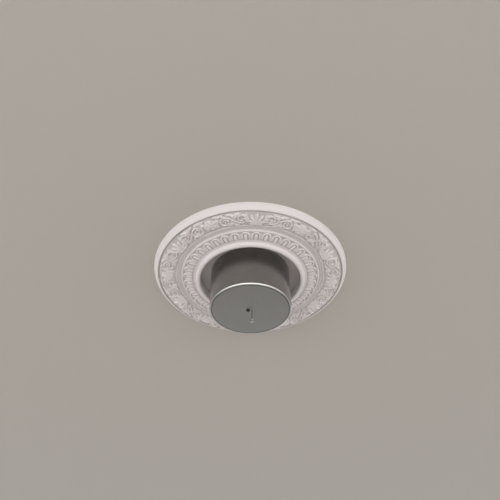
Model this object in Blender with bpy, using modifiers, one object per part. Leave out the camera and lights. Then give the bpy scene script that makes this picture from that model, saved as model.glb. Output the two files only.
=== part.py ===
"""A moulded ceiling rose, with a metal ceiling cup over its middle.

Metres, +Z up. The origin is the middle of the rose's flat back, which lies on the
ceiling, and the whole part hangs below it. A hook and a bush go through the cup's face.
"""
import math

import bmesh
import bpy
import numpy as np

# Clearance between pieces that touch
FIT_GAP = 0.0003

# Ceiling cup, over the middle of the rose
CUP_RADIUS = 0.0731
CUP_DEPTH = 0.0888
CUP_WALL = 0.0010
CUP_EDGE_RADIUS = 0.0024

# Rose: widths of its rings, from the recess round the cup outwards
RECESS_GAP = 0.0204
COLLAR_WIDTH = 0.0085
COVE_WIDTH = 0.0046
ARCH_BAND_WIDTH = 0.0186
ARCH_FILLET_WIDTH = 0.0028
INNER_GROOVE_WIDTH = 0.0034
HOLLOW_BAND_WIDTH = 0.0036
BEAD_WIDTH = 0.0042
LEAF_BAND_WIDTH = 0.0292
OUTER_GROOVE_WIDTH = 0.0036
RIM_FILLET_WIDTH = 0.0010
RIM_SLOPE_WIDTH = 0.0070

# Rose: how far each ring stands below the ceiling. The arch band's ground falls towards
# its inner edge, and stands that much further down there.
PLATE_THICKNESS = 0.0030
COLLAR_DEPTH = 0.0244
COLLAR_LIP_DEPTH = 0.0230
COVE_DEPTH = 0.0178
ARCH_GROUND_DEPTH = 0.0152
ARCH_GROUND_FALL = 0.0018
INNER_GROOVE_DEPTH = 0.0124
HOLLOW_BAND_DEPTH = 0.0130
BEAD_DEPTH = 0.0142
LEAF_GROUND_DEPTH = 0.0122
OUTER_GROOVE_DEPTH = 0.0108
RIM_DEPTH = 0.0130
RIM_LIP_DEPTH = 0.0020

# Rose: how far its curved grounds and slopes swell
LEAF_GROUND_SWELL = 0.0008
ARCH_GROUND_SWELL = 0.0004
RIM_SWELL = 0.0012

# Carving: how far it stands off its ground, and how often it repeats
LEAF_RELIEF = 0.0042
LEAF_REPEATS = 6
LEAF_START = math.radians(4.0)
ARCH_RELIEF = 0.0027
ARCH_REPEATS = 40
ARCH_START = math.radians(5.0)
CARVING_EDGE = 0.0008

# Hook of bent wire, with a button head inside the cup
HOOK_WIRE_RADIUS = 0.0009
HOOK_EYE_RADIUS = 0.0028
HOOK_STEM = 0.0195
HOOK_HEAD_RADIUS = 0.0021
HOOK_HEAD_HEIGHT = 0.0014

# Bush, a short tube with a flange, snapped into the cup's face
BUSH_BORE_RADIUS = 0.0019
BUSH_WALL = 0.0009
BUSH_FLANGE_RADIUS = 0.0036
BUSH_FLANGE_HEIGHT = 0.0011
BUSH_SPACE = 0.0012

# Fineness of the solids
MERGE_DISTANCE = 0.00001
PLAIN_STEPS = 60
CARVED_STEPS = 12*PLAIN_STEPS
ROSE_TRIANGLES = 7900
CUP_STEPS = 48
BUSH_STEPS = 16
EYE_STEPS = 15

# Rings of the rose, worked out from the cup outwards
RECESS_RADIUS = CUP_RADIUS + RECESS_GAP
COLLAR_OUTER = RECESS_RADIUS + COLLAR_WIDTH
ARCH_BAND_INNER = COLLAR_OUTER + COVE_WIDTH
ARCH_BAND_OUTER = ARCH_BAND_INNER + ARCH_BAND_WIDTH
INNER_GROOVE_INNER = ARCH_BAND_OUTER + ARCH_FILLET_WIDTH
INNER_GROOVE_OUTER = INNER_GROOVE_INNER + INNER_GROOVE_WIDTH
BEAD_INNER = INNER_GROOVE_OUTER + HOLLOW_BAND_WIDTH
LEAF_BAND_INNER = BEAD_INNER + BEAD_WIDTH
LEAF_BAND_OUTER = LEAF_BAND_INNER + LEAF_BAND_WIDTH
RIM_INNER = LEAF_BAND_OUTER + OUTER_GROOVE_WIDTH
RIM_FILLET_OUTER = RIM_INNER + RIM_FILLET_WIDTH
ROSE_RADIUS = RIM_FILLET_OUTER + RIM_SLOPE_WIDTH

CUP_TOP = -PLATE_THICKNESS - FIT_GAP
FACE_INSIDE = CUP_WALL - CUP_DEPTH
HOOK_X = HOOK_HEAD_RADIUS + BUSH_SPACE/2
BUSH_X = -BUSH_FLANGE_RADIUS - BUSH_SPACE/2


def clear_scene():
    for thing in list(bpy.data.objects):
        bpy.data.objects.remove(thing, do_unlink=True)


def collection(name):
    made = bpy.data.collections.new(name)
    bpy.context.scene.collection.children.link(made)
    return made


def material(name, colour, roughness, metallic):
    made = bpy.data.materials.new(name)
    made.use_nodes = True
    shader = made.node_tree.nodes["Principled BSDF"]
    shader.inputs["Base Color"].default_value = (*colour, 1.0)
    shader.inputs["Roughness"].default_value = roughness
    shader.inputs["Metallic"].default_value = metallic
    made.diffuse_color = (*colour, 1.0)
    return made


def add_object(name, mesh, group, finish=None):
    thing = bpy.data.objects.new(name, mesh)
    if finish is not None:
        mesh.materials.clear()
        mesh.materials.append(finish)
    group.objects.link(thing)
    return thing


def add_curve(name, curve, group):
    thing = bpy.data.objects.new(name, curve)
    group.objects.link(thing)
    return thing


def evaluated_mesh(thing):
    """The object's mesh with its modifiers applied; the object itself is removed."""
    bpy.context.view_layer.update()
    graph = bpy.context.evaluated_depsgraph_get()
    mesh = bpy.data.meshes.new_from_object(thing.evaluated_get(graph))
    bpy.data.objects.remove(thing, do_unlink=True)
    return mesh


def weld(mesh):
    """Merges points that lie together, such as a tube's loose caps and its wall."""
    shape = bmesh.new()
    shape.from_mesh(mesh)
    bmesh.ops.remove_doubles(shape, verts=shape.verts, dist=MERGE_DISTANCE)
    bmesh.ops.recalc_face_normals(shape, faces=shape.faces)
    shape.to_mesh(mesh)
    shape.free()


def bow(start, end, sag, steps):
    """Points from start to end on a parabola; a positive sag swells it out of the solid."""
    run = (end[0] - start[0], end[1] - start[1])
    length = math.hypot(*run)
    normal = (run[1]/length, -run[0]/length)
    points = []
    for i in range(steps + 1):
        s = i/steps
        lift = 4.0*sag*s*(1.0 - s)
        points.append((start[0] + run[0]*s - normal[0]*lift, start[1] + run[1]*s - normal[1]*lift))
    return points


def joined(*runs):
    """One profile from runs whose ends may meet, without the doubled points."""
    points = []
    for run in runs:
        for point in run:
            if not points or math.dist(points[-1], point) > MERGE_DISTANCE:
                points.append(point)
    return points


def turned(name, profile, steps, group, closed=False):
    """A profile of (radius, height) points turned about the Z axis with a Screw modifier."""
    count = len(profile)
    edges = [(i, i + 1) for i in range(count - 1)]
    if closed:
        edges.append((count - 1, 0))
    mesh = bpy.data.meshes.new(name)
    mesh.from_pydata([(radius, 0.0, height) for radius, height in profile], edges, [])
    thing = add_object(name, mesh, group)
    screw = thing.modifiers.new("turn", "SCREW")
    screw.axis = "Z"
    screw.angle = 2.0*math.pi
    screw.steps = steps
    screw.render_steps = steps
    screw.use_merge_vertices = True
    screw.merge_threshold = MERGE_DISTANCE
    screw.use_smooth_shade = True
    return thing


def smooth_shaded(mesh, angle):
    mesh.shade_smooth()
    mesh.set_sharp_from_angle(angle=math.radians(angle))


# Carving of the rose. Heights are shares of the relief, 0 on the ground and 1 at its top.
def ridge(distance, half_width):
    """A round-backed ridge: 1 on its middle line, 0 from half_width outwards."""
    return np.sqrt(np.clip(1.0 - (distance/np.maximum(half_width, 1e-9))**2, 0.0, 1.0))


def scroll(u, v, centre, reach, start):
    """A volute that winds in clockwise from the angle start, round a ball."""
    rho = np.hypot(u - centre[0], v - centre[1])
    phi = np.mod(start - np.arctan2(v - centre[1], u - centre[0]), 2*math.pi)
    height = ridge(rho, 0.30*reach)
    for winding in range(2):
        wound = phi + 2*math.pi*winding
        spiral = reach*np.exp(-0.105*wound)
        width = 0.23*reach*np.exp(-0.05*wound)
        fade = np.clip((2.6*math.pi - wound)/0.8, 0.0, 1.0)
        height = np.maximum(height, 0.78*fade*ridge(rho - spiral, width))
    return height


def along(u, v, root, tip):
    """Distance along the line from root to tip as a share of its length, and distance off it."""
    length = math.dist(root, tip)
    run_u, run_v = (tip[0] - root[0])/length, (tip[1] - root[1])/length
    share = ((u - root[0])*run_u + (v - root[1])*run_v)/length
    return share, (v - root[1])*run_u - (u - root[0])*run_v


def leaf(u, v, root, tip, bend, width, lobes):
    """An acanthus leaf: lobes that sweep forward from a grooved, bent midrib."""
    share, off = along(u, v, root, tip)
    off = off - 4.0*bend*share*(1.0 - share)
    inside = (share > 0.0) & (share < 1.0)
    share = np.clip(share, 0.0, 1.0)
    envelope = np.sin(math.pi*share**0.8)**0.6
    lobe = np.abs(np.cos(math.pi*(lobes*share - 0.8*np.abs(off)/width)))
    blade = ridge(off, width*envelope*(0.66 + 0.34*lobe))
    groove = 1.0 - 0.16*np.exp(-(off/(0.14*width))**2)
    return np.where(inside, blade*groove*(0.80 + 0.20*lobe)*(0.55 + 0.45*envelope), 0.0)


def petal(u, v, root, angle, length, width):
    """A single petal or palmette lobe, pointing away from root at an angle from +v."""
    tip = (root[0] + length*math.sin(angle), root[1] + length*math.cos(angle))
    share, off = along(u, v, root, tip)
    inside = (share > 0.0) & (share < 1.0)
    share = np.clip(share, 0.0, 1.0)
    swell = 0.25 + 0.75*np.sin(math.pi*share**1.3)**0.8
    return np.where(inside, ridge(off, width*swell*np.minimum(20.0*(1.0 - share), 1.0)), 0.0)


def wave_stem(u, v, low, high, half_width):
    """The S-shaped stem from the bottom of one volute to the top of the next."""
    share = np.clip((u - low[0])/(high[0] - low[0]), 0.0, 1.0)
    rise = high[1] - low[1]
    middle = low[1] + rise*(0.5 - 0.5*np.cos(math.pi*share))
    slope = 0.5*math.pi*rise/(high[0] - low[0])*np.sin(math.pi*share)
    on_stem = (u > low[0]) & (u < high[0])
    return np.where(on_stem, ridge((v - middle)/np.sqrt(1.0 + slope**2), half_width), 0.0)


def leaf_band(radius, turn):
    """The carved band: palmettes and flowers by turns, with leafy S-scrolls between them.

    u runs from a palmette's middle to the next flower's, and v across the band, both
    in halves of the band's width, so that volutes stay round.
    """
    half_width = LEAF_BAND_WIDTH/2
    middle = LEAF_BAND_INNER + half_width
    repeat = 2*math.pi/LEAF_REPEATS
    from_palmette = np.abs(np.mod(turn - LEAF_START + repeat/2, repeat) - repeat/2)
    u = from_palmette*middle/half_width
    v = (radius - middle)/half_width
    span = repeat/2*middle/half_width

    height = np.zeros_like(u)
    for i, length in enumerate((1.72, 1.54, 1.16, 0.77)):
        lobe = petal(u, v, (0.0, -0.877), math.radians(26*i), length, 0.218)
        height = np.maximum(height, lobe)

    reach = 0.674
    first = (0.317*span, 0.126)
    second = (0.671*span, -0.126)
    height = np.maximum(height, scroll(u, v, first, reach, -math.pi/2))
    height = np.maximum(height, scroll(u, v, second, reach, math.pi/2))
    low = (first[0], first[1] - reach)
    high = (second[0], second[1] + reach)
    height = np.maximum(height, 0.8*wave_stem(u, v, low, high, 0.126))

    for root, tip, bend, width, lobes in (
            ((0.112, -0.877), (0.217, 0.898), -0.210, 0.310, 4),
            ((0.478, 0.035), (0.311, 0.884), -0.225, 0.310, 3),
            ((0.509, -0.035), (0.677, -0.898), -0.225, 0.310, 3),
            ((0.453, 0.246), (0.627, 0.905), 0.182, 0.245, 3),
            ((0.534, -0.246), (0.360, -0.905), 0.182, 0.245, 3),
            ((0.764, 0.807), (0.876, -0.884), 0.239, 0.330, 4),
            ((0.671, 0.772), (0.894, 0.842), 0.084, 0.200, 2)):
        blade = leaf(u, v, (root[0]*span, root[1]), (tip[0]*span, tip[1]), bend, width, lobes)
        height = np.maximum(height, 0.95*blade)

    flower = (span, 0.0)
    for k in range(6):
        angle = math.radians(60*k)
        height = np.maximum(height, 0.90*petal(u, v, flower, angle, 0.758, 0.274))
        height = np.maximum(height, 0.65*petal(u, v, flower, angle + math.pi/6, 0.842, 0.140))
    height = np.maximum(height, ridge(np.hypot(u - span, v), 0.182))

    for share, across in ((0.480, 0.674), (0.437, 0.786), (0.509, -0.688),
                          (0.552, -0.786), (0.236, -0.744), (0.283, -0.828)):
        berry = ridge(np.hypot(u - share*span, v - across), 0.119)
        height = np.maximum(height, 0.7*berry)
    return height*np.clip((half_width - np.abs(radius - middle))/CARVING_EDGE, 0.0, 1.0)


def arch_band(radius, turn):
    """The arcade: a round arch over a long tongue, and a dart between each two arches."""
    half_width = ARCH_BAND_WIDTH/2
    middle = ARCH_BAND_INNER + half_width
    step = 2*math.pi/ARCH_REPEATS
    half_pitch = step/2*middle
    across = np.abs(np.mod(turn - ARCH_START + step/2, step) - step/2)*radius
    rise = radius - middle
    arch_radius = 0.70*half_pitch
    arch_ridge = 0.165*half_pitch
    spring = half_width - arch_radius - arch_ridge
    foot = np.sqrt(np.clip((rise + 0.94*half_width)/(0.46*half_width), 0.0, 1.0))
    leg = np.where(rise > spring, np.hypot(across, rise - spring), across) - arch_radius
    height = 0.9*foot*ridge(leg, arch_ridge*foot)
    tongue_end = (rise + 0.22*half_width)/(0.74*half_width)
    tongue = 1.0 - (across/(0.34*half_pitch))**2 - tongue_end**4
    height = np.maximum(height, np.sqrt(np.clip(tongue, 0.0, 1.0)))
    head = np.sqrt(np.clip((0.51*half_width - rise)/(0.69*half_width), 0.0, 1.0))
    dart = 0.8*foot*head*ridge(step/2*radius - across, 0.115*half_pitch)
    return np.maximum(height, dart)


def rose_profile():
    """The rose's section, from the middle of its back round the rim to its middle below."""
    back = [(0.0, 0.0), (ROSE_RADIUS, 0.0)]
    rim = bow((ROSE_RADIUS, -RIM_LIP_DEPTH), (RIM_FILLET_OUTER, -RIM_DEPTH), RIM_SWELL, 3)
    outer_quarter = OUTER_GROOVE_WIDTH/4
    outer_groove = [(RIM_INNER, -RIM_DEPTH),
                    (RIM_INNER - outer_quarter, -OUTER_GROOVE_DEPTH),
                    (LEAF_BAND_OUTER + outer_quarter, -OUTER_GROOVE_DEPTH)]
    leaf_ground = bow((LEAF_BAND_OUTER, -LEAF_GROUND_DEPTH),
                      (LEAF_BAND_INNER, -LEAF_GROUND_DEPTH), LEAF_GROUND_SWELL, 26)
    bead_side = BEAD_WIDTH*0.15
    bead_foot = -BEAD_DEPTH + BEAD_WIDTH*0.28
    bead = [(LEAF_BAND_INNER - bead_side, bead_foot),
            (LEAF_BAND_INNER - BEAD_WIDTH/2, -BEAD_DEPTH),
            (BEAD_INNER + bead_side, bead_foot)]
    hollow = [(BEAD_INNER, -HOLLOW_BAND_DEPTH), (INNER_GROOVE_OUTER, -HOLLOW_BAND_DEPTH)]
    inner_quarter = INNER_GROOVE_WIDTH/4
    inner_groove = [(INNER_GROOVE_OUTER - inner_quarter, -INNER_GROOVE_DEPTH),
                    (INNER_GROOVE_INNER + inner_quarter, -INNER_GROOVE_DEPTH)]
    fillet_depth = ARCH_GROUND_DEPTH + ARCH_RELIEF/2
    fillet = [(INNER_GROOVE_INNER, -fillet_depth), (ARCH_BAND_OUTER, -fillet_depth)]
    arch_ground = bow((ARCH_BAND_OUTER, -ARCH_GROUND_DEPTH),
                      (ARCH_BAND_INNER, -ARCH_GROUND_DEPTH - ARCH_GROUND_FALL),
                      ARCH_GROUND_SWELL, 15)
    cove = [(ARCH_BAND_INNER - COVE_WIDTH/4, -COVE_DEPTH), (COLLAR_OUTER, -COVE_DEPTH)]
    shoulder = COLLAR_OUTER - COLLAR_WIDTH*0.22
    crown = bow((shoulder, -COLLAR_LIP_DEPTH), (RECESS_RADIUS, -COLLAR_LIP_DEPTH),
                COLLAR_DEPTH - COLLAR_LIP_DEPTH, 5)
    plate = [(RECESS_RADIUS, -PLATE_THICKNESS), (0.0, -PLATE_THICKNESS)]
    return joined(back, rim, outer_groove, leaf_ground, bead, hollow, inner_groove,
                  fillet, arch_ground, cove, crown, plate)


def points_of(mesh):
    points = np.empty(len(mesh.vertices)*3)
    mesh.vertices.foreach_get("co", points)
    return points.reshape(-1, 3)


def on_bands(points):
    """Which points lie on the leaf band's ground, and which on the arch band's."""
    radius = np.hypot(points[:, 0], points[:, 1])
    below = points[:, 2] < -RIM_LIP_DEPTH/2
    edge = FIT_GAP/10
    leaves = below & (radius > LEAF_BAND_INNER + edge) & (radius < LEAF_BAND_OUTER - edge)
    arches = below & (radius > ARCH_BAND_INNER + edge) & (radius < ARCH_BAND_OUTER - edge)
    return leaves, arches


def carve(mesh):
    """Moves the two bands' points down by their carving, and draws the points of the
    plain rings together into few steps."""
    points = points_of(mesh)
    radius = np.hypot(points[:, 0], points[:, 1])
    turn = np.arctan2(points[:, 0], -points[:, 1])
    leaves, arches = on_bands(points)
    points[leaves, 2] -= LEAF_RELIEF*leaf_band(radius[leaves], turn[leaves])
    points[arches, 2] -= ARCH_RELIEF*arch_band(radius[arches], turn[arches])
    plain = ~(leaves | arches)
    step = 2*math.pi/PLAIN_STEPS
    stepped = np.floor(turn[plain]/step + 0.4999)*step
    points[plain, 0] = radius[plain]*np.sin(stepped)
    points[plain, 1] = -radius[plain]*np.cos(stepped)
    mesh.vertices.foreach_set("co", points.ravel())
    mesh.update()


def make_rose(group):
    """The casting: turned, carved, and its carving thinned to what the solid can carry."""
    mesh = evaluated_mesh(turned("rose_blank", rose_profile(), CARVED_STEPS, group))
    carve(mesh)
    weld(mesh)
    leaves, arches = on_bands(points_of(mesh))
    carved = add_object("rose_carved", mesh, group)
    carving = carved.vertex_groups.new(name="carving")
    carving.add(np.flatnonzero(leaves | arches).tolist(), 1.0, "REPLACE")
    triangles = sum(len(face.vertices) - 2 for face in mesh.polygons)
    thin = carved.modifiers.new("thin", "DECIMATE")
    thin.ratio = min(1.0, ROSE_TRIANGLES/triangles)
    thin.vertex_group = carving.name
    thin.use_collapse_triangulate = True
    mesh = evaluated_mesh(carved)
    smooth_shaded(mesh, 40)
    paint = material("rose_white_paint", (0.60, 0.55, 0.54), 0.55, 0.0)
    return add_object("rose", mesh, group, paint)


def cylinder(name, radius, top, bottom, x, steps, group):
    """An upright cylinder between two heights."""
    mesh = bpy.data.meshes.new(name)
    shape = bmesh.new()
    bmesh.ops.create_cone(shape, cap_ends=True, segments=steps, radius1=radius,
                          radius2=radius, depth=top - bottom)
    bmesh.ops.translate(shape, verts=shape.verts, vec=(x, 0.0, (top + bottom)/2))
    shape.to_mesh(mesh)
    shape.free()
    return add_object(name, mesh, group)


def cut(thing, cutter):
    cutter.hide_render = True
    cutter.display_type = "WIRE"
    step = thing.modifiers.new("cut_" + cutter.name, "BOOLEAN")
    step.operation = "DIFFERENCE"
    step.solver = "EXACT"
    step.object = cutter


def make_cup(group, cutters):
    """The cup: a turned shell, open at the top, with a hole each for hook and bush."""
    edge = []
    for i in range(6):
        angle = math.radians(90*i/5)
        edge.append((CUP_RADIUS - CUP_EDGE_RADIUS*(1 - math.cos(angle)),
                     -CUP_DEPTH + CUP_EDGE_RADIUS*(1 - math.sin(angle))))
    profile = joined([(CUP_RADIUS, CUP_TOP)], edge, [(0.0, -CUP_DEPTH)])
    mesh = evaluated_mesh(turned("cup_outside", profile, CUP_STEPS, group))
    smooth_shaded(mesh, 50)
    nickel = material("cup_satin_nickel", (0.42, 0.40, 0.38), 0.32, 1.0)
    cup = add_object("ceiling_cup", mesh, group, nickel)
    shell = cup.modifiers.new("wall", "SOLIDIFY")
    shell.thickness = CUP_WALL
    shell.offset = -1.0
    shell.use_even_offset = True
    reach = 3*CUP_WALL
    hook_hole = cylinder("hook_hole", HOOK_WIRE_RADIUS + FIT_GAP, FACE_INSIDE + reach,
                         -CUP_DEPTH - reach, HOOK_X, 16, cutters)
    bush_hole = cylinder("bush_hole", BUSH_BORE_RADIUS + BUSH_WALL + FIT_GAP,
                         FACE_INSIDE + reach, -CUP_DEPTH - reach, BUSH_X, BUSH_STEPS, cutters)
    cut(cup, hook_hole)
    cut(cup, bush_hole)
    return cup


def make_hook(group, cutters):
    """The hook: a straight stem bent round at its foot into an eye that stops short of it."""
    head_foot = FACE_INSIDE + FIT_GAP
    neck = -CUP_DEPTH - HOOK_STEM
    stem_top = head_foot + HOOK_HEAD_HEIGHT/2
    eye_middle = neck - 1.5*HOOK_EYE_RADIUS
    route = [(0.0, stem_top), (0.0, (stem_top + neck)/2), (0.0, neck)]
    first, last = math.radians(50), math.radians(-225)
    for i in range(EYE_STEPS + 1):
        angle = first + (last - first)*i/EYE_STEPS
        route.append((HOOK_EYE_RADIUS*math.cos(angle),
                      eye_middle + HOOK_EYE_RADIUS*math.sin(angle)))
    curve = bpy.data.curves.new("hook_wire", "CURVE")
    curve.dimensions = "3D"
    spline = curve.splines.new("POLY")
    spline.points.add(len(route) - 1)
    for point, (x, z) in zip(spline.points, route):
        point.co = (HOOK_X + x, 0.0, z, 1.0)
    curve.bevel_depth = HOOK_WIRE_RADIUS
    curve.bevel_resolution = 2
    curve.use_fill_caps = True
    mesh = evaluated_mesh(add_curve("hook_wire", curve, group))
    weld(mesh)
    nickel = material("hook_nickel", (0.50, 0.48, 0.46), 0.25, 1.0)
    hook = add_object("suspension_hook", mesh, group, nickel)
    head = cylinder("hook_head", HOOK_HEAD_RADIUS, head_foot + HOOK_HEAD_HEIGHT, head_foot,
                    HOOK_X, 16, cutters)
    head.hide_render = True
    head.display_type = "WIRE"
    union = hook.modifiers.new("head", "BOOLEAN")
    union.operation = "UNION"
    union.solver = "EXACT"
    union.object = head
    return hook


def make_bush(group):
    """The bush: a barrel through the cup's face, with a flange outside and a lip inside."""
    barrel = BUSH_BORE_RADIUS + BUSH_WALL
    outer_face = -CUP_DEPTH - FIT_GAP
    inner_face = FACE_INSIDE + FIT_GAP
    lip = (barrel + BUSH_FLANGE_RADIUS)/2
    profile = [(BUSH_BORE_RADIUS, inner_face + BUSH_FLANGE_HEIGHT),
               (barrel, inner_face + BUSH_FLANGE_HEIGHT),
               (lip, inner_face),
               (barrel, inner_face),
               (barrel, outer_face),
               (BUSH_FLANGE_RADIUS, outer_face),
               (BUSH_FLANGE_RADIUS - BUSH_WALL/2, outer_face - BUSH_FLANGE_HEIGHT),
               (BUSH_BORE_RADIUS, outer_face - BUSH_FLANGE_HEIGHT)]
    mesh = evaluated_mesh(turned("bush_blank", profile, BUSH_STEPS, group, closed=True))
    smooth_shaded(mesh, 35)
    black = material("bush_black_plastic", (0.015, 0.015, 0.016), 0.45, 0.0)
    bush = add_object("outlet_bush", mesh, group, black)
    bush.location = (BUSH_X, 0.0, 0.0)
    return bush


def make_ceiling_rose():
    clear_scene()
    parts = collection("ceiling_rose")
    cutters = collection("cutters")
    make_rose(parts)
    make_cup(parts, cutters)
    make_hook(parts, cutters)
    make_bush(parts)


make_ceiling_rose()
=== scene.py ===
import math

import bmesh
import bpy
import numpy as np
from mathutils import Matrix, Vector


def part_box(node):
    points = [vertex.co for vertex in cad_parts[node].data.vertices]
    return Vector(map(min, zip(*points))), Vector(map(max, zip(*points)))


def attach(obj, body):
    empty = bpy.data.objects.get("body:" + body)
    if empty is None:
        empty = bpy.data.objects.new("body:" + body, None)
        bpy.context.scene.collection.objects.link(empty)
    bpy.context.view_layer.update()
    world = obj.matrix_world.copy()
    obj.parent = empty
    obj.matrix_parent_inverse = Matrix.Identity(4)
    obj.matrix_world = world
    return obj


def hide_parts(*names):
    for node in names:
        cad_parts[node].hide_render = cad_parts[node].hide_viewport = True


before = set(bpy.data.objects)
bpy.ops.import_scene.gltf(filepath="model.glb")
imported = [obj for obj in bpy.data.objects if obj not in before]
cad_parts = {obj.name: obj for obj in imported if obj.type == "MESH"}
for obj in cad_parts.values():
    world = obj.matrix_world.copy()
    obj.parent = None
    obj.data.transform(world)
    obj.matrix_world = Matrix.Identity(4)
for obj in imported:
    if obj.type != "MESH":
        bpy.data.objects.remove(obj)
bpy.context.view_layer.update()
bpy.ops.object.select_all(action="DESELECT")


# Rose. A one-piece casting in light rigid foam, primed and painted matt white. A band of
# palmettes, leafy scrolls and flowers, a bead, an arcade and a round collar run about a
# sunk middle. It lies flat on the ceiling, where it is glued and screwed.
rose_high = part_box("rose")[1]
cup_low, cup_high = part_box("ceiling_cup")
CARVED_STEPS = 1200
PLAIN_STEPS = CARVED_STEPS//5
LEAF_RINGS = 36
ARCH_RINGS = 22
RIM_RINGS = 9
BEAD_RINGS = 8
HOLLOW_BAND_RINGS = 4
COLLAR_SIDE_RINGS = 4
COLLAR_CROWN_RINGS = 12
EDGE_ROUNDING = 0.00035
MERGE_DISTANCE = 0.000001
SHARP_TURN = math.radians(25.0)
SMOOTH_UNDER = math.radians(60.0)
FLAT_FACE_WEIGHT = 80

RECESS_GAP = 0.0204
COLLAR_WIDTH = 0.0085
COLLAR_SIDE_WIDTH = 0.22*COLLAR_WIDTH
COVE_WIDTH = 0.0046
ARCH_BAND_WIDTH = 0.0186
ARCH_FILLET_WIDTH = 0.0028
INNER_GROOVE_WIDTH = 0.0034
HOLLOW_BAND_WIDTH = 0.0036
BEAD_WIDTH = 0.0042
BEAD_SIDE_WIDTH = 0.10*BEAD_WIDTH
LEAF_BAND_WIDTH = 0.0292
OUTER_GROOVE_WIDTH = 0.0036
RIM_FILLET_WIDTH = 0.0010

PLATE_THICKNESS = 0.0030
COLLAR_DEPTH = 0.0244
COLLAR_LIP_DEPTH = 0.0230
COVE_DEPTH = 0.0178
ARCH_GROUND_DEPTH = 0.0152
ARCH_GROUND_FALL = 0.0018
INNER_GROOVE_DEPTH = 0.0124
HOLLOW_BAND_DEPTH = 0.0130
BEAD_DEPTH = 0.0142
BEAD_RISE = 0.42*BEAD_WIDTH
LEAF_GROUND_DEPTH = 0.0122
OUTER_GROOVE_DEPTH = 0.0108
RIM_DEPTH = 0.0130
RIM_LIP_DEPTH = 0.0020

LEAF_GROUND_SWELL = 0.0008
ARCH_GROUND_SWELL = 0.0004
RIM_SWELL = 0.0012
HOLLOW_BAND_SWELL = -0.0005
COLLAR_SIDE_SWELL = -0.0005

LEAF_RELIEF = 0.0042
LEAF_REPEATS = 6
LEAF_START = math.radians(4.0)
ARCH_RELIEF = 0.0027
ARCH_REPEATS = 40
ARCH_START = math.radians(5.0)
CARVING_EDGE = 0.0008
HOLLOW_DEPTH = 0.0134
HOLLOW_FADE = 0.0020
HOLLOW_ARCH_SHARE = 0.6
# A little under a half, so that points midway between two steps all go to the same one.
NEAREST_STEP = 0.4999

# The leaf band's carving. Lengths are in halves of its width, places along it in shares of
# the way from a palmette to the next flower, and heights in shares of the relief. A
# volute's own widths are in shares of its reach, and the palmette's fan is in degrees.
PALMETTE_LOBES = (1.72, 1.54, 1.16, 0.77)
PALMETTE_LOBE_WIDTH = 0.218
PALMETTE_FAN = 26
PALMETTE_FOOT = -0.877
VOLUTE_PLACES = ((0.317, 0.126), (0.671, -0.126))
VOLUTE_REACH = 0.674
VOLUTE_HEIGHT = 0.85
VOLUTE_WIDTH = 0.24
VOLUTE_WAIST = 0.66
VOLUTE_LOBES = 2.5
VOLUTE_TIGHTENING = 0.105
VOLUTE_THINNING = 0.05
VOLUTE_END = 2.6*math.pi
VOLUTE_FADE = 0.8
VOLUTE_BALL_RADIUS = 0.20
VOLUTE_BALL_HEIGHT = 0.9
STEM_WIDTH = 0.126
STEM_HEIGHT = 0.8
LEAF_HEIGHT = 0.95
LEAF_WAIST = 0.66
LEAF_SWEEP = 0.8
LEAF_VEIN = 0.10
LEAF_MIDRIB = 0.16
LEAF_MIDRIB_WIDTH = 0.14
PETAL_FOOT_WIDTH = 0.25
PETAL_BLUNTNESS = 20.0
FLOWER_PETALS = 6
# Height, length and width of a flower's petals, and of the narrow sepals between them.
FLOWER_PETAL_SIZES = (0.90, 0.758, 0.274)
FLOWER_SEPAL_SIZES = (0.65, 0.842, 0.140)
FLOWER_EYE_RADIUS = 0.182
BERRY_RADIUS = 0.119
BERRY_HEIGHT = 0.7

# Each leaf's root and tip, with its bend, its width and the number of its lobes.
LEAVES = (
    ((0.112, -0.877), (0.217, 0.898), -0.210, 0.310, 4),
    ((0.478, 0.035), (0.311, 0.884), -0.225, 0.310, 3),
    ((0.509, -0.035), (0.677, -0.898), -0.225, 0.310, 3),
    ((0.453, 0.246), (0.627, 0.905), 0.182, 0.245, 3),
    ((0.534, -0.246), (0.360, -0.905), 0.182, 0.245, 3),
    ((0.764, 0.807), (0.876, -0.884), 0.239, 0.330, 4),
    ((0.671, 0.772), (0.894, 0.842), 0.084, 0.200, 2))
BERRIES = ((0.480, 0.674), (0.437, 0.786), (0.509, -0.688),
           (0.552, -0.786), (0.236, -0.744), (0.283, -0.828))

# The arcade's carving: widths in halves of an arch's pitch, and places and lengths
# across the band in halves of its width.
ARCH_RADIUS = 0.70
ARCH_RIDGE_WIDTH = 0.165
ARCH_RIDGE_HEIGHT = 0.9
ARCH_FOOT = -0.94
ARCH_FOOT_TAPER = 0.46
TONGUE_WIDTH = 0.34
TONGUE_MIDDLE = -0.22
TONGUE_LENGTH = 0.74
DART_WIDTH = 0.115
DART_HEIGHT = 0.8
DART_TIP = 0.51
DART_TAPER = 0.69

recess_radius = cup_high.x + RECESS_GAP
collar_outer = recess_radius + COLLAR_WIDTH
arch_band_inner = collar_outer + COVE_WIDTH
arch_band_outer = arch_band_inner + ARCH_BAND_WIDTH
inner_groove_inner = arch_band_outer + ARCH_FILLET_WIDTH
inner_groove_outer = inner_groove_inner + INNER_GROOVE_WIDTH
bead_inner = inner_groove_outer + HOLLOW_BAND_WIDTH
leaf_band_inner = bead_inner + BEAD_WIDTH
leaf_band_outer = leaf_band_inner + LEAF_BAND_WIDTH
rim_inner = leaf_band_outer + OUTER_GROOVE_WIDTH
rim_fillet_outer = rim_inner + RIM_FILLET_WIDTH
rose_radius = rose_high.x


def add_primitive(kind, name, **sizes):
    """Adds a mesh primitive with nothing else selected, and names it."""
    bpy.ops.object.select_all(action="DESELECT")
    getattr(bpy.ops.mesh, "primitive_" + kind + "_add")(**sizes)
    made = bpy.context.object
    made.name = name
    made.data.name = name
    return made


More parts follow.
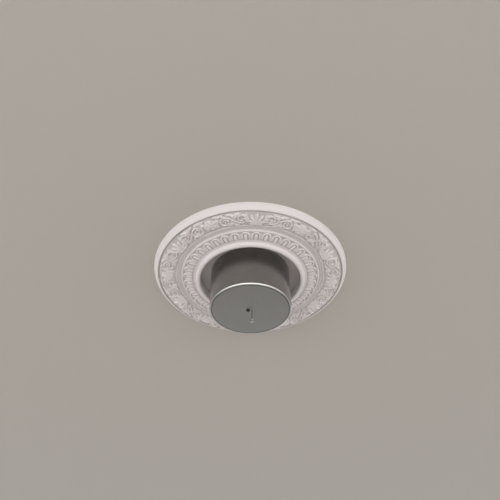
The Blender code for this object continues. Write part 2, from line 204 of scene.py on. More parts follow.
def choose(kind, wanted):
    """In edit mode, selects only the verts, edges or faces that the test picks."""
    bpy.ops.mesh.select_mode(type={"verts": "VERT", "edges": "EDGE", "faces": "FACE"}[kind])
    bpy.ops.mesh.select_all(action="DESELECT")
    shape = bmesh.from_edit_mesh(bpy.context.object.data)
    for part in [part for part in getattr(shape, kind) if wanted(part)]:
        part.select_set(True)
    shape.select_flush_mode()
    bmesh.update_edit_mesh(bpy.context.object.data)


def close_seams():
    """In edit mode, merges doubled points and turns every face outwards."""
    bpy.ops.mesh.select_all(action="SELECT")
    bpy.ops.mesh.remove_doubles(threshold=MERGE_DISTANCE)
    bpy.ops.mesh.normals_make_consistent(inside=False)


def apply_modifier(piece, name, kind, **settings):
    """Adds a modifier with its settings, and applies it."""
    made = piece.modifiers.new(name, kind)
    for key, value in settings.items():
        setattr(made, key, value)
    bpy.ops.object.modifier_apply(modifier=name)


def shade_soft(piece):
    """Smooth shading, with the wide faces flat up to the rounded edges."""
    bpy.ops.object.shade_smooth_by_angle(angle=SMOOTH_UNDER)
    apply_modifier(piece, "flat_faces", "WEIGHTED_NORMAL", keep_sharp=True,
                   weight=FLAT_FACE_WEIGHT)


def bow(start, end, sag, steps):
    """Points from start to end on a parabola; a positive sag swells it out of the casting."""
    run = (end[0] - start[0], end[1] - start[1])
    length = math.hypot(*run)
    normal = (run[1]/length, -run[0]/length)
    points = []
    for i in range(steps + 1):
        s = i/steps
        lift = 4.0*sag*s*(1.0 - s)
        points.append((start[0] + run[0]*s - normal[0]*lift, start[1] + run[1]*s - normal[1]*lift))
    return points


def rose_section():
    """The casting's section, from the middle of its back round the rim to its middle below."""
    rim = bow((rose_radius, -RIM_LIP_DEPTH), (rim_fillet_outer, -RIM_DEPTH), RIM_SWELL,
              RIM_RINGS)
    outer_quarter = OUTER_GROOVE_WIDTH/4
    outer_groove = [(rim_inner, -RIM_DEPTH),
                    (rim_inner - outer_quarter, -OUTER_GROOVE_DEPTH),
                    (leaf_band_outer + outer_quarter, -OUTER_GROOVE_DEPTH)]
    leaf_ground = bow((leaf_band_outer, -LEAF_GROUND_DEPTH),
                      (leaf_band_inner, -LEAF_GROUND_DEPTH), LEAF_GROUND_SWELL, LEAF_RINGS)
    bead_foot = BEAD_RISE - BEAD_DEPTH
    bead = bow((leaf_band_inner - BEAD_SIDE_WIDTH, bead_foot),
               (bead_inner + BEAD_SIDE_WIDTH, bead_foot), BEAD_RISE, BEAD_RINGS)
    hollow = bow((bead_inner, -HOLLOW_BAND_DEPTH), (inner_groove_outer, -HOLLOW_BAND_DEPTH),
                 HOLLOW_BAND_SWELL, HOLLOW_BAND_RINGS)
    inner_quarter = INNER_GROOVE_WIDTH/4
    inner_groove = [(inner_groove_outer - inner_quarter, -INNER_GROOVE_DEPTH),
                    (inner_groove_inner + inner_quarter, -INNER_GROOVE_DEPTH)]
    fillet_depth = ARCH_GROUND_DEPTH + ARCH_RELIEF/2
    fillet = [(inner_groove_inner, -fillet_depth), (arch_band_outer, -fillet_depth)]
    arch_ground = bow((arch_band_outer, -ARCH_GROUND_DEPTH),
                      (arch_band_inner, -ARCH_GROUND_DEPTH - ARCH_GROUND_FALL),
                      ARCH_GROUND_SWELL, ARCH_RINGS)
    cove = [(arch_band_inner - COVE_WIDTH/4, -COVE_DEPTH)]
    shoulder = collar_outer - COLLAR_SIDE_WIDTH
    side = bow((collar_outer, -COVE_DEPTH), (shoulder, -COLLAR_LIP_DEPTH), COLLAR_SIDE_SWELL,
               COLLAR_SIDE_RINGS)
    crown = bow((shoulder, -COLLAR_LIP_DEPTH), (recess_radius, -COLLAR_LIP_DEPTH),
                COLLAR_DEPTH - COLLAR_LIP_DEPTH, COLLAR_CROWN_RINGS)
    plate = [(recess_radius, -PLATE_THICKNESS), (0.0, -PLATE_THICKNESS)]
    return [(0.0, 0.0), (rose_radius, 0.0), *rim, *outer_groove, *leaf_ground, *bead, *hollow,
            *inner_groove, *fillet, *arch_ground, *cove, *side, *crown[1:], *plate]


def ridge(distance, half_width):
    """A round-backed ridge: 1 on its middle line, 0 from half_width outwards."""
    return np.sqrt(np.clip(1.0 - (distance/np.maximum(half_width, 1e-9))**2, 0.0, 1.0))


def scroll(u, v, centre, reach, start):
    """A leafy volute that winds in clockwise from the angle start, round a small ball."""
    rho = np.hypot(u - centre[0], v - centre[1])
    phi = np.mod(start - np.arctan2(v - centre[1], u - centre[0]), 2*math.pi)
    height = VOLUTE_BALL_HEIGHT*ridge(rho, VOLUTE_BALL_RADIUS*reach)
    for winding in range(2):
        wound = phi + 2*math.pi*winding
        spiral = reach*np.exp(-VOLUTE_TIGHTENING*wound)
        lobe = VOLUTE_WAIST + (1.0 - VOLUTE_WAIST)*np.abs(np.cos(VOLUTE_LOBES*wound))
        width = VOLUTE_WIDTH*reach*lobe*np.exp(-VOLUTE_THINNING*wound)
        fade = np.clip((VOLUTE_END - wound)/VOLUTE_FADE, 0.0, 1.0)
        height = np.maximum(height, VOLUTE_HEIGHT*fade*lobe*ridge(rho - spiral, width))
    return height


def along(u, v, root, tip):
    """Distance along the line from root to tip as a share of its length, and distance off it."""
    length = math.dist(root, tip)
    run_u, run_v = (tip[0] - root[0])/length, (tip[1] - root[1])/length
    share = ((u - root[0])*run_u + (v - root[1])*run_v)/length
    return share, (v - root[1])*run_u - (u - root[0])*run_v


def leaf(u, v, root, tip, bend, width, lobes):
    """An acanthus leaf: veined lobes that sweep forward from a grooved, bent midrib."""
    share, off = along(u, v, root, tip)
    off = off - 4.0*bend*share*(1.0 - share)
    inside = (share > 0.0) & (share < 1.0)
    share = np.clip(share, 0.0, 1.0)
    envelope = np.sin(math.pi*share**0.8)**0.6
    sweep = lobes*share - LEAF_SWEEP*np.abs(off)/width
    lobe = np.abs(np.cos(math.pi*sweep))
    vein = 1.0 - LEAF_VEIN*np.abs(np.sin(math.pi*sweep))**6
    blade = ridge(off, width*envelope*(LEAF_WAIST + (1.0 - LEAF_WAIST)*lobe))*vein
    groove = 1.0 - LEAF_MIDRIB*np.exp(-(off/(LEAF_MIDRIB_WIDTH*width))**2)
    return np.where(inside, blade*groove*(0.80 + 0.20*lobe)*(0.55 + 0.45*envelope), 0.0)


def petal(u, v, root, angle, length, width):
    """A single petal or palmette lobe, pointing away from root at an angle from +v."""
    tip = (root[0] + length*math.sin(angle), root[1] + length*math.cos(angle))
    share, off = along(u, v, root, tip)
    inside = (share > 0.0) & (share < 1.0)
    share = np.clip(share, 0.0, 1.0)
    swell = PETAL_FOOT_WIDTH + (1.0 - PETAL_FOOT_WIDTH)*np.sin(math.pi*share**1.3)**0.8
    blunt = np.minimum(PETAL_BLUNTNESS*(1.0 - share), 1.0)
    return np.where(inside, ridge(off, width*swell*blunt), 0.0)


def wave_stem(u, v, low, high, half_width):
    """The S-shaped stem from the bottom of one volute to the top of the next."""
    share = np.clip((u - low[0])/(high[0] - low[0]), 0.0, 1.0)
    rise = high[1] - low[1]
    middle = low[1] + rise*(0.5 - 0.5*np.cos(math.pi*share))
    slope = 0.5*math.pi*rise/(high[0] - low[0])*np.sin(math.pi*share)
    on_stem = (u > low[0]) & (u < high[0])
    return np.where(on_stem, ridge((v - middle)/np.sqrt(1.0 + slope**2), half_width), 0.0)


def leaf_band(radius, turn):
    """The carved band: palmettes and flowers by turns, with leafy S-scrolls between them.

    u runs from a palmette's middle to the next flower's, and v across the band, both
    in halves of the band's width, so that volutes stay round.
    """
    half_width = LEAF_BAND_WIDTH/2
    middle = leaf_band_inner + half_width
    repeat = 2*math.pi/LEAF_REPEATS
    from_palmette = np.abs(np.mod(turn - LEAF_START + repeat/2, repeat) - repeat/2)
    u = from_palmette*middle/half_width
    v = (radius - middle)/half_width
    span = repeat/2*middle/half_width

    height = np.zeros_like(u)
    for i, length in enumerate(PALMETTE_LOBES):
        lobe = petal(u, v, (0.0, PALMETTE_FOOT), math.radians(PALMETTE_FAN*i), length,
                     PALMETTE_LOBE_WIDTH)
        height = np.maximum(height, lobe)

    first, second = [(share*span, across) for share, across in VOLUTE_PLACES]
    height = np.maximum(height, scroll(u, v, first, VOLUTE_REACH, -math.pi/2))
    height = np.maximum(height, scroll(u, v, second, VOLUTE_REACH, math.pi/2))
    low = (first[0], first[1] - VOLUTE_REACH)
    high = (second[0], second[1] + VOLUTE_REACH)
    height = np.maximum(height, STEM_HEIGHT*wave_stem(u, v, low, high, STEM_WIDTH))

    for root, tip, bend, width, lobes in LEAVES:
        blade = leaf(u, v, (root[0]*span, root[1]), (tip[0]*span, tip[1]), bend, width, lobes)
        height = np.maximum(height, LEAF_HEIGHT*blade)

    flower = (span, 0.0)
    petal_step = 2*math.pi/FLOWER_PETALS
    for first_angle, (petal_height, length, width) in (
            (0.0, FLOWER_PETAL_SIZES), (petal_step/2, FLOWER_SEPAL_SIZES)):
        for i in range(FLOWER_PETALS):
            blade = petal(u, v, flower, first_angle + petal_step*i, length, width)
            height = np.maximum(height, petal_height*blade)
    height = np.maximum(height, ridge(np.hypot(u - span, v), FLOWER_EYE_RADIUS))

    for share, across in BERRIES:
        berry = ridge(np.hypot(u - share*span, v - across), BERRY_RADIUS)
        height = np.maximum(height, BERRY_HEIGHT*berry)
    return height*np.clip((half_width - np.abs(radius - middle))/CARVING_EDGE, 0.0, 1.0)


def arch_band(radius, turn):
    """The arcade: a round arch over a long tongue, and a dart between each two arches."""
    half_width = ARCH_BAND_WIDTH/2
    middle = arch_band_inner + half_width
    step = 2*math.pi/ARCH_REPEATS
    half_pitch = step/2*middle
    across = np.abs(np.mod(turn - ARCH_START + step/2, step) - step/2)*radius
    rise = radius - middle
    arch_radius = ARCH_RADIUS*half_pitch
    arch_ridge = ARCH_RIDGE_WIDTH*half_pitch
    spring = half_width - arch_radius - arch_ridge
    over_foot = (rise - ARCH_FOOT*half_width)/(ARCH_FOOT_TAPER*half_width)
    foot = np.sqrt(np.clip(over_foot, 0.0, 1.0))
    leg = np.where(rise > spring, np.hypot(across, rise - spring), across) - arch_radius
    height = ARCH_RIDGE_HEIGHT*foot*ridge(leg, arch_ridge*foot)
    tongue_end = (rise - TONGUE_MIDDLE*half_width)/(TONGUE_LENGTH*half_width)
    tongue = 1.0 - (across/(TONGUE_WIDTH*half_pitch))**2 - tongue_end**4
    height = np.maximum(height, np.sqrt(np.clip(tongue, 0.0, 1.0)))
    under_tip = (DART_TIP*half_width - rise)/(DART_TAPER*half_width)
    head = np.sqrt(np.clip(under_tip, 0.0, 1.0))
    dart = DART_HEIGHT*foot*head*ridge(step/2*radius - across, DART_WIDTH*half_pitch)
    return np.maximum(height, dart)


def places(mesh):
    """The mesh's points as an array, with their distance from the axis and angle round it."""
    points = np.empty(len(mesh.vertices)*3)
    mesh.vertices.foreach_get("co", points)
    points = points.reshape(-1, 3)
    return points, np.hypot(points[:, 0], points[:, 1]), np.arctan2(points[:, 0], -points[:, 1])


def carve(mesh):
    """Lowers the two bands' points by their carving, and draws those of the plain rings
    together into fewer steps."""
    points, radius, turn = places(mesh)
    below = points[:, 2] < -RIM_LIP_DEPTH
    edge = EDGE_ROUNDING/2
    leaves = below & (radius > leaf_band_inner + edge) & (radius < leaf_band_outer - edge)
    arches = below & (radius > arch_band_inner + edge) & (radius < arch_band_outer - edge)
    points[leaves, 2] -= LEAF_RELIEF*leaf_band(radius[leaves], turn[leaves])
    points[arches, 2] -= ARCH_RELIEF*arch_band(radius[arches], turn[arches])
    plain = ~(leaves | arches)
    step = 2*math.pi/PLAIN_STEPS
    stepped = np.floor(turn[plain]/step + NEAREST_STEP)*step
    points[plain, 0] = radius[plain]*np.sin(stepped)
    points[plain, 1] = -radius[plain]*np.cos(stepped)
    mesh.vertices.foreach_set("co", points.ravel())
    mesh.update()


def mark_hollows(mesh):
    """Stores on each point how far it lies in a hollow of the ornament, which the paint darkens as
    painted shade.
    """
    points, radius, turn = places(mesh)
    inner = np.clip((rim_inner - radius)/EDGE_ROUNDING, 0.0, 1.0)
    fall = ARCH_GROUND_FALL*(arch_band_outer - radius)/ARCH_BAND_WIDTH
    on_arches = (radius > arch_band_inner) & (radius < arch_band_outer)
    arch_hollow = ARCH_GROUND_DEPTH + fall + ARCH_RELIEF*HOLLOW_ARCH_SHARE
    ground = np.where(on_arches, arch_hollow, HOLLOW_DEPTH)
    hollow = inner*np.clip((ground + points[:, 2])/HOLLOW_FADE, 0.0, 1.0)
    mesh.attributes.new("hollow", "FLOAT", "POINT").data.foreach_set("value", hollow)


def bends_sharply(vert):
    """Whether the section turns a corner at a point, rather than ending or running on."""
    if len(vert.link_edges) != 2:
        return False
    first, second = [edge.other_vert(vert).co - vert.co for edge in vert.link_edges]
    return first.angle(second) < math.pi - SHARP_TURN


rose = add_primitive("plane", "carved_rose", size=PLATE_THICKNESS)
bpy.ops.object.mode_set(mode="EDIT")
bpy.ops.mesh.merge(type="CENTER")
section = rose_section()
for start, end in zip(section, section[1:]):
    move = (end[0] - start[0], 0.0, end[1] - start[1])
    bpy.ops.mesh.extrude_vertices_move(TRANSFORM_OT_translate={"value": move})
choose("verts", bends_sharply)
bpy.ops.mesh.bevel(offset=EDGE_ROUNDING, segments=2, affect="VERTICES")
bpy.ops.object.mode_set(mode="OBJECT")
apply_modifier(rose, "turn", "SCREW", axis="Z", steps=CARVED_STEPS, render_steps=CARVED_STEPS,
               use_merge_vertices=True, merge_threshold=MERGE_DISTANCE)
carve(rose.data)
bpy.ops.object.mode_set(mode="EDIT")
close_seams()
bpy.ops.object.mode_set(mode="OBJECT")
mark_hollows(rose.data)
shade_soft(rose)


class Wire:
    """One output of a material's nodes. Sums and products of wires add Math nodes."""

    def __init__(self, finish, socket):
        self.finish = finish
        self.socket = socket

    def math(self, operation, first, second):
        return self.finish.node("Math", {"operation": operation}, {0: first, 1: second})

    def __add__(self, other):
        return self.math("ADD", self, other)

    def __radd__(self, other):
        return self.math("ADD", other, self)

    def __rsub__(self, other):
        return self.math("SUBTRACT", other, self)

    def __mul__(self, other):
        return self.math("MULTIPLY", self, other)


class Finish:
    """A material on one Principled shader, made of nodes that node() adds."""

    def __init__(self, name):
        self.material = bpy.data.materials.new(name)
        self.material.use_nodes = True
        self.tree = self.material.node_tree

    def node(self, kind, settings, sockets, output=0):
        """Adds a node: its settings first, then the values or wires of its sockets."""
        made = self.tree.nodes.new("ShaderNode" + kind)
        for name, value in settings.items():
            setattr(made, name, value)
        self.feed(made, sockets)
        return Wire(self, made.outputs[output])

    def feed(self, node, sockets):
        for name, value in sockets.items():
            if isinstance(value, Wire):
                self.tree.links.new(value.socket, node.inputs[name])
            else:
                node.inputs[name].default_value = value

    def blend(self, share, first, second):
        """A colour between two, by a share that varies over the surface."""
        return self.node("Mix", {"data_type": "RGBA"}, {0: share, 6: first, 7: second}, 2)

    def noise(self, place, scale, detail=2.0):
        return self.node("TexNoise", {}, {"Vector": place, "Scale": scale, "Detail": detail})

    def place(self):
        """Where a point of the surface is, in metres."""
        return self.node("TexCoord", {}, {}, "Object")

    def surface(self, piece, sockets):
        """Feeds the shader's sockets and gives the piece this material."""
        self.feed(self.tree.nodes["Principled BSDF"], sockets)
        piece.data.materials.clear()
        piece.data.materials.append(self.material)


PAINT = (0.750, 0.688, 0.690, 1.0)
PAINT_WORN = (0.728, 0.676, 0.650, 1.0)
# The next colour is painted shade, laid into the ornament's hollows.
PAINT_IN_SHADE = (0.420, 0.380, 0.370, 1.0)
PATCH_SCALE = 22.0
GRAIN_SCALE = 900.0
PIT_SCALE = 3200.0
GRAIN_DEPTH = 0.00008
SHADE_EVEN = 0.25
SHADE_IN_PATCHES = 0.9

finish = Finish("rose_paint")
place = finish.place()
patches = finish.noise(place, PATCH_SCALE, 4.0)
grain = finish.noise(place, GRAIN_SCALE, 3.0)
pits = finish.noise(place, PIT_SCALE)
hollow = finish.node("Attribute", {"attribute_name": "hollow"}, {}, "Fac")
clean = finish.blend(patches, PAINT, PAINT_WORN)
# Painted shade: the paint is darker in the hollows, partly evenly and partly in patches.
shaded_paint = finish.blend(hollow*(SHADE_EVEN + patches*SHADE_IN_PATCHES), clean, PAINT_IN_SHADE)
height = grain*0.8 + pits*0.2
normal = finish.node("Bump", {}, {"Height": height, "Distance": GRAIN_DEPTH, "Strength": 0.6})
finish.surface(rose, {"Base Color": shaded_paint, "Roughness": 0.46 + grain*0.12, "Normal": normal})
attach(rose, "root")
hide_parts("rose")


# Ceiling cup. A drawn steel shell with 1 mm walls, open at the top and empty, plated in
# satin nickel. Its bottom edge is rounded and carries a painted highlight in front, a fine
# groove runs round its face and is painted dark as shade, more so in front, and a hole
# each for hook and bush goes through it.
CUP_SIDES = 192
CUP_WALL = 0.0010
CUP_EDGE_RADIUS = 0.0024
CUP_EDGE_STEPS = 6
CUP_BURR = 0.00018
SEAM_INSET = 0.0034
SEAM_WIDTH = 0.0018
SEAM_DEPTH = 0.0004
HOLE_SIDES = 48
DRILL_LENGTH = 6*CUP_WALL
FIT_GAP = 0.0003
HOOK_WIRE_RADIUS = 0.0009
BUSH_BARREL_RADIUS = 0.0028
hook_low, hook_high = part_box("suspension_hook")
bush_low, bush_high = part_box("outlet_bush")
NICKEL = (0.335, 0.324, 0.312, 1.0)
NICKEL_DULL = (0.305, 0.295, 0.283, 1.0)
# The next colour is a painted highlight for the front of the bottom edge.
NICKEL_PAINTED_HIGHLIGHT = (0.920, 0.900, 0.870, 1.0)
# The next colour is painted shade for the groove round the face.
SEAM_PAINTED_SHADE = (0.020, 0.019, 0.018, 1.0)
SEAM_SHADE_SHARE = 0.45
SEAM_SHADE_IN_FRONT = 0.5
SEAM_ROUGHNESS = 0.3
PAINTED_HIGHLIGHT_FROM = 0.45
BRUSHING_SCALE = 900.0
BRUSHING_ROUND_SCALE = 6.0
BRUSHING_DEPTH = 0.000004
SMEAR_SCALE = 30.0

seam_radius = cup_high.x - SEAM_INSET
hook_x = (hook_low.x + hook_high.x)/2
bush_x = (bush_low.x + bush_high.x)/2


def on_seam(face):
    """Whether a face lies in the narrow ring of the cup's face that becomes the groove."""
    middle = face.calc_center_median()
    return abs(math.hypot(middle.x, middle.y) - seam_radius) < SEAM_WIDTH/4


def drill(piece, radius, x, height):
    """Cuts an upright round hole through a piece's wall at that height."""
    drill_bit = add_primitive("cylinder", "drill", vertices=HOLE_SIDES, radius=radius,
                              depth=DRILL_LENGTH, location=(x, 0.0, height))
    bpy.ops.object.select_all(action="DESELECT")
    piece.select_set(True)
    bpy.context.view_layer.objects.active = piece
    apply_modifier(piece, "hole", "BOOLEAN", operation="DIFFERENCE", solver="EXACT",
                   object=drill_bit)
    bpy.data.objects.remove(drill_bit)


cup_middle = (cup_low.z + cup_high.z)/2
cup = add_primitive("cylinder", "nickel_cup", vertices=CUP_SIDES, radius=cup_high.x,
                    depth=cup_high.z - cup_low.z, location=(0.0, 0.0, cup_middle))
bpy.ops.object.transform_apply(location=True, rotation=True, scale=True)
bpy.ops.object.mode_set(mode="EDIT")
choose("faces", lambda face: face.normal.z > 0.5)
bpy.ops.mesh.delete(type="ONLY_FACE")
choose("edges", lambda edge: all(vert.co.z < cup_middle for vert in edge.verts))
bpy.ops.mesh.bevel(offset=CUP_EDGE_RADIUS, segments=CUP_EDGE_STEPS, profile=0.5)
choose("faces", lambda face: face.normal.z < -0.5 and len(face.verts) > 4)
bpy.ops.mesh.inset(thickness=SEAM_INSET - SEAM_WIDTH/2 - CUP_EDGE_RADIUS)
bpy.ops.mesh.inset(thickness=SEAM_WIDTH)
choose("faces", on_seam)
bpy.ops.mesh.extrude_region_move(TRANSFORM_OT_translate={"value": (0.0, 0.0, SEAM_DEPTH)})
bpy.ops.object.mode_set(mode="OBJECT")
apply_modifier(cup, "wall", "SOLIDIFY", thickness=CUP_WALL, offset=-1.0, use_even_offset=True)
drill(cup, HOOK_WIRE_RADIUS + FIT_GAP, hook_x, cup_low.z)
drill(cup, BUSH_BARREL_RADIUS + FIT_GAP, bush_x, cup_low.z)
bpy.ops.object.mode_set(mode="EDIT")
close_seams()
bpy.ops.object.mode_set(mode="OBJECT")
apply_modifier(cup, "burrs", "BEVEL", width=CUP_BURR, segments=2, limit_method="ANGLE",
               angle_limit=SMOOTH_UNDER)
shade_soft(cup)

finish = Finish("satin_nickel")
place = finish.place()
flat = finish.node("VectorMath", {"operation": "MULTIPLY"}, {0: place, 1: (1.0, 1.0, 0.0)})
from_axis = finish.node("VectorMath", {"operation": "LENGTH"}, {0: flat}, "Value")
upright = finish.node("SeparateXYZ", {}, {0: place}, "Z")
sideways = finish.node("SeparateXYZ", {}, {0: place}, "X")
away = finish.node("SeparateXYZ", {}, {0: place}, "Y")
turned = finish.node("CombineXYZ", {}, {"X": from_axis*BRUSHING_SCALE,
                                        "Y": upright*BRUSHING_SCALE,
                                        "Z": sideways*BRUSHING_ROUND_SCALE})
brushing = finish.noise(turned, 1.0, 3.0)
smears = finish.noise(place, SMEAR_SCALE, 3.0)
foot = finish.node("Math", {"operation": "COMPARE"},
                   {0: upright, 1: cup_low.z, 2: CUP_EDGE_RADIUS})
turn_under = finish.node("Math", {"operation": "COMPARE"},
                         {0: from_axis, 1: cup_high.x, 2: CUP_EDGE_RADIUS})
painted_light_front = finish.node("MapRange", {"interpolation_type": "SMOOTHSTEP"},
                        {0: away, 1: -PAINTED_HIGHLIGHT_FROM*cup_high.x, 2: -cup_high.x})
seam = finish.node("Math", {"operation": "COMPARE"},
                   {0: from_axis, 1: seam_radius, 2: SEAM_WIDTH/2})
colour = finish.blend(smears, NICKEL, NICKEL_DULL)
# Painted highlight: the rounded bottom edge is made near white on its front side.
colour = finish.blend(foot*turn_under*painted_light_front, colour, NICKEL_PAINTED_HIGHLIGHT)
# Painted shade: the groove round the face is made near black, darker in front.
colour = finish.blend(seam*(SEAM_SHADE_SHARE + painted_light_front*SEAM_SHADE_IN_FRONT), colour,
                      SEAM_PAINTED_SHADE)
normal = finish.node("Bump", {}, {"Height": brushing, "Distance": BRUSHING_DEPTH,
                                  "Strength": 0.5})
roughness = 0.23 + brushing*0.06 + smears*0.06 + seam*SEAM_ROUGHNESS
finish.surface(cup, {"Base Color": colour, "Metallic": 1.0, "Normal": normal,
                     "Roughness": roughness})
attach(cup, "root")
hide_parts("ceiling_cup")


# Hook. Round steel wire with a head formed on it, which bears on the inside of the cup's
# face. Below the face it runs straight down and is bent round into an eye that stops
# just short of the stem. It is nickel plated, a little brighter than the cup.
HOOK_SIDES = 20
HOOK_END_ROUNDING = 0.0004
HOOK_HEAD_RADIUS = 0.0021
HOOK_HEAD_HEIGHT = 0.0014
EYE_LEAN = math.radians(50.0)
EYE_TURN = math.radians(275.0)
EYE_STEPS = 44
LEAN_STEPS = 10
HOOK_NICKEL = (0.500, 0.480, 0.460, 1.0)
HOOK_NICKEL_DULL = (0.400, 0.385, 0.365, 1.0)
SCUFF_SCALE = 350.0
SCUFF_DEPTH = 0.00002

eye_radius = (hook_high.x - hook_low.x)/2 - HOOK_WIRE_RADIUS
eye_height = hook_low.z + HOOK_WIRE_RADIUS + eye_radius
lean_radius = eye_radius*math.cos(EYE_LEAN)/(1.0 - math.cos(EYE_LEAN))
stem_foot = eye_height + (eye_radius + lean_radius)*math.sin(EYE_LEAN)

hook = add_primitive("cylinder", "bent_hook", vertices=HOOK_SIDES, radius=HOOK_HEAD_RADIUS,
                     depth=HOOK_HEAD_HEIGHT,
                     location=(hook_x, 0.0, hook_high.z - HOOK_HEAD_HEIGHT/2))
bpy.ops.object.transform_apply(location=True, rotation=True, scale=True)
bpy.ops.object.mode_set(mode="EDIT")
near_top = hook_high.z - HOOK_END_ROUNDING/2
choose("edges", lambda edge: all(vert.co.z > near_top for vert in edge.verts))
bpy.ops.mesh.bevel(offset=HOOK_END_ROUNDING, segments=3, profile=0.5)
choose("faces", lambda face: face.normal.z < -0.5)
bpy.ops.mesh.inset(thickness=HOOK_HEAD_RADIUS - HOOK_WIRE_RADIUS)
stem_drop = (0.0, 0.0, stem_foot - (hook_high.z - HOOK_HEAD_HEIGHT))
bpy.ops.mesh.extrude_region_move(TRANSFORM_OT_translate={"value": stem_drop})
bpy.ops.mesh.spin(steps=LEAN_STEPS, angle=EYE_LEAN, axis=(0, 1, 0),
                  center=(hook_x + lean_radius, 0.0, stem_foot))
bpy.ops.mesh.spin(steps=EYE_STEPS, angle=-EYE_TURN, axis=(0, 1, 0),
                  center=(hook_x, 0.0, eye_height))
bpy.ops.mesh.bevel(offset=HOOK_END_ROUNDING, segments=3, profile=0.5)
close_seams()
bpy.ops.object.mode_set(mode="OBJECT")
shade_soft(hook)

finish = Finish("hook_nickel")
place = finish.place()
scuffs = finish.noise(place, SCUFF_SCALE, 4.0)
colour = finish.blend(scuffs, HOOK_NICKEL, HOOK_NICKEL_DULL)
normal = finish.node("Bump", {}, {"Height": scuffs, "Distance": SCUFF_DEPTH, "Strength": 0.4})
finish.surface(hook, {"Base Color": colour, "Metallic": 1.0, "Roughness": 0.18 + scuffs*0.14,
                      "Normal": normal})
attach(hook, "root")
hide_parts("suspension_hook")


# Bush. A short tube in black moulded plastic that lines the round hole beside the hook.
# Its flange lies under the cup's face, and its lip snaps over the face's inside.
BUSH_SIDES = 48
BUSH_BORE_RADIUS = 0.0019
BUSH_ROUNDING = 0.0003
BUSH_BLACK = (0.015, 0.015, 0.016, 1.0)
BUSH_GREY = (0.030, 0.030, 0.031, 1.0)
BUSH_GRAIN_SCALE = 2600.0
BUSH_GRAIN_DEPTH = 0.00003

bush_flange_radius = (bush_high.x - bush_low.x)/2
flange_top = cup_low.z - FIT_GAP
lip_foot = cup_low.z + CUP_WALL + FIT_GAP
lip_radius = (BUSH_BARREL_RADIUS + bush_flange_radius)/2
widen = lip_radius/BUSH_BARREL_RADIUS
bush_middle = (bush_x, 0.0, lip_foot)

bush = add_primitive("cylinder", "moulded_bush", vertices=BUSH_SIDES,
                     radius=bush_flange_radius, depth=flange_top - bush_low.z,
                     location=(bush_x, 0.0, (flange_top + bush_low.z)/2))
bpy.ops.object.transform_apply(location=True, rotation=True, scale=True)
bpy.ops.object.mode_set(mode="EDIT")
choose("faces", lambda face: face.normal.z > 0.5)
bpy.ops.mesh.inset(thickness=bush_flange_radius - BUSH_BARREL_RADIUS)
bpy.ops.mesh.extrude_region_move(
    TRANSFORM_OT_translate={"value": (0.0, 0.0, lip_foot - flange_top)})
bpy.ops.mesh.extrude_region_move(TRANSFORM_OT_translate={"value": (0.0, 0.0, 0.0)})
bpy.ops.transform.resize(value=(widen, widen, 1.0), center_override=bush_middle)
bpy.ops.mesh.extrude_region_move(
    TRANSFORM_OT_translate={"value": (0.0, 0.0, bush_high.z - lip_foot)})
bpy.ops.transform.resize(value=(1.0/widen, 1.0/widen, 1.0), center_override=bush_middle)
bpy.ops.mesh.inset(thickness=BUSH_BARREL_RADIUS - BUSH_BORE_RADIUS)
bpy.ops.mesh.delete(type="ONLY_FACE")
choose("faces", lambda face: face.normal.z < -0.5)
bpy.ops.mesh.inset(thickness=bush_flange_radius - BUSH_BORE_RADIUS)
bpy.ops.mesh.delete(type="ONLY_FACE")
choose("edges", lambda edge: edge.is_boundary)
bpy.ops.mesh.bridge_edge_loops()
close_seams()
bpy.ops.object.mode_set(mode="OBJECT")
apply_modifier(bush, "soft_edges", "BEVEL", width=BUSH_ROUNDING, segments=3,
               limit_method="ANGLE", angle_limit=SMOOTH_UNDER)
shade_soft(bush)

finish = Finish("bush_black")
place = finish.place()
grain = finish.noise(place, BUSH_GRAIN_SCALE, 2.0)
colour = finish.blend(grain, BUSH_BLACK, BUSH_GREY)
normal = finish.node("Bump", {}, {"Height": grain, "Distance": BUSH_GRAIN_DEPTH,
                                  "Strength": 0.5})
finish.surface(bush, {"Base Color": colour, "Roughness": 0.40 + grain*0.15, "Normal": normal})
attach(bush, "root")
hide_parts("outlet_bush")


# Studio. A plain backdrop lies flat where the rose is fixed, with a round gap for it, and
# is seen from below only. A pale floor lies under it and one long soft lamp stands in
# front. The rest of the light comes from all round, more of it from low than from above.
BACKDROP_REACH = 4.0
BACKDROP_OVERLAP = 0.0010
BACKDROP_SIDES = 240
FLOOR_HEIGHT = -2.4
FLOOR_REACH = 6.0
BACKDROP_PAINT = (0.495, 0.455, 0.417, 1.0)
FLOOR_PAINT = (0.76, 0.735, 0.70, 1.0)
ROLLER_SCALE = 260.0
ROLLER_DEPTH = 0.0002
LAMP_PLACE = (-0.2, -2.6, -1.5)
LAMP_AIM = (0.0, 0.0, 0.0)
LAMP_WIDTH = 6.5
LAMP_HEIGHT = 0.5
LAMP_POWER = 29.0
LAMP_COLOUR = (1.0, 0.97, 0.94)
DAYLIGHT = (0.92, 0.96, 1.0, 1.0)
HORIZON_STRENGTH = 1.94
SKY_STRENGTH = 1.0
SKY_HEIGHT = 0.15
SEEN_STRENGTH = 0.72


class Sky(Finish):
    """The light from all round, made of nodes in the same way as a finish."""

    def __init__(self, surroundings):
        self.tree = surroundings.node_tree


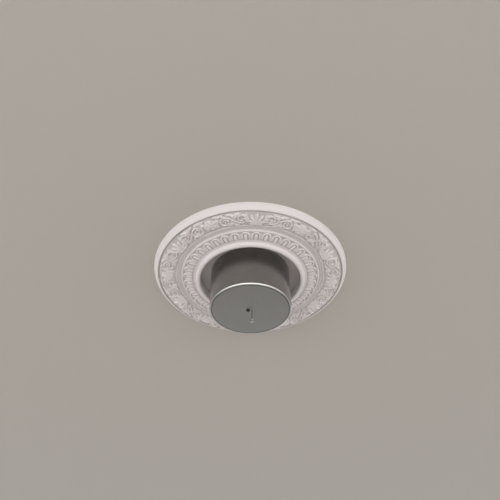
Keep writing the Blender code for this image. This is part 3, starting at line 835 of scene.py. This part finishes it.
backdrop = add_primitive("circle", "backdrop", vertices=BACKDROP_SIDES, fill_type="NOTHING",
                         radius=rose_radius - BACKDROP_OVERLAP)
bpy.ops.object.mode_set(mode="EDIT")
spread = BACKDROP_REACH/(rose_radius - BACKDROP_OVERLAP)
bpy.ops.mesh.select_all(action="SELECT")
bpy.ops.mesh.extrude_edges_move(TRANSFORM_OT_translate={"value": (0.0, 0.0, 0.0)})
bpy.ops.transform.resize(value=(spread, spread, 1.0), center_override=(0.0, 0.0, 0.0))
choose("faces", lambda face: face.normal.z > 0.0)
bpy.ops.mesh.flip_normals()
bpy.ops.object.mode_set(mode="OBJECT")
finish = Finish("backdrop_paint")
roller = finish.noise(finish.place(), ROLLER_SCALE, 3.0)
normal = finish.node("Bump", {}, {"Height": roller, "Distance": ROLLER_DEPTH,
                                  "Strength": 0.25})
finish.surface(backdrop, {"Base Color": BACKDROP_PAINT, "Roughness": 0.85, "Normal": normal})
behind = finish.node("NewGeometry", {}, {}, "Backfacing")
clear = finish.node("BsdfTransparent", {}, {})
painted = Wire(finish, finish.tree.nodes["Principled BSDF"].outputs[0])
seen = finish.node("MixShader", {}, {0: behind, 1: painted, 2: clear})
finish.feed(finish.tree.nodes["Material Output"], {"Surface": seen})

floor = add_primitive("plane", "floor", size=2*FLOOR_REACH, location=(0.0, 0.0, FLOOR_HEIGHT))
finish = Finish("floor_paint")
finish.surface(floor, {"Base Color": FLOOR_PAINT, "Roughness": 0.7})

lamp = bpy.data.objects.new("lamp", bpy.data.lights.new("lamp", "AREA"))
bpy.context.scene.collection.objects.link(lamp)
lamp.data.shape = "RECTANGLE"
lamp.data.size = LAMP_WIDTH
lamp.data.size_y = LAMP_HEIGHT
lamp.data.energy = LAMP_POWER
lamp.data.color = LAMP_COLOUR
lamp.location = LAMP_PLACE
lamp_run = [aim - place for aim, place in zip(LAMP_AIM, LAMP_PLACE)]
lamp_rise = math.atan2(lamp_run[2], math.hypot(lamp_run[0], lamp_run[1]))
lamp.rotation_euler = (math.pi/2 + lamp_rise, 0.0, math.atan2(-lamp_run[0], lamp_run[1]))
lamp.visible_camera = False

# The surroundings give more light than they show, so that they don't glare behind the rose.
world = bpy.data.worlds.new("daylight")
world.use_nodes = True
world.node_tree.nodes["Background"].inputs["Color"].default_value = DAYLIGHT
sky = Sky(world)
direction = sky.node("TexCoord", {}, {}, "Generated")
upwards = sky.node("SeparateXYZ", {}, {0: direction}, "Z")
strength = sky.node("MapRange", {}, {0: upwards, 1: 0.0, 2: SKY_HEIGHT,
                                     3: HORIZON_STRENGTH, 4: SKY_STRENGTH})
directly = sky.node("LightPath", {}, {}, "Is Camera Ray")
strength = strength + directly*(SEEN_STRENGTH - strength)
sky.feed(sky.tree.nodes["Background"], {"Strength": strength})
bpy.context.scene.world = world
bpy.context.scene.view_settings.view_transform = "Standard"


# Camera. It stands under and in front of the rose, and looks up at the photograph's angle.
CAMERA_PLACE = (-0.00320, -0.85381, -0.74614)
CAMERA_RISE = math.radians(43.31)
CAMERA_ROLL = math.radians(0.21)
CAMERA_LENS = 43.2
CAMERA_SENSOR = 36.0
CAMERA_CLIP = 0.01

camera = bpy.data.objects.new("camera", bpy.data.cameras.new("camera"))
bpy.context.scene.collection.objects.link(camera)
camera.data.lens = CAMERA_LENS
camera.data.sensor_width = CAMERA_SENSOR
camera.data.clip_start = CAMERA_CLIP
camera.location = CAMERA_PLACE
camera.rotation_euler = (math.pi/2 + CAMERA_RISE, CAMERA_ROLL, 0.0)
bpy.context.scene.camera = camera
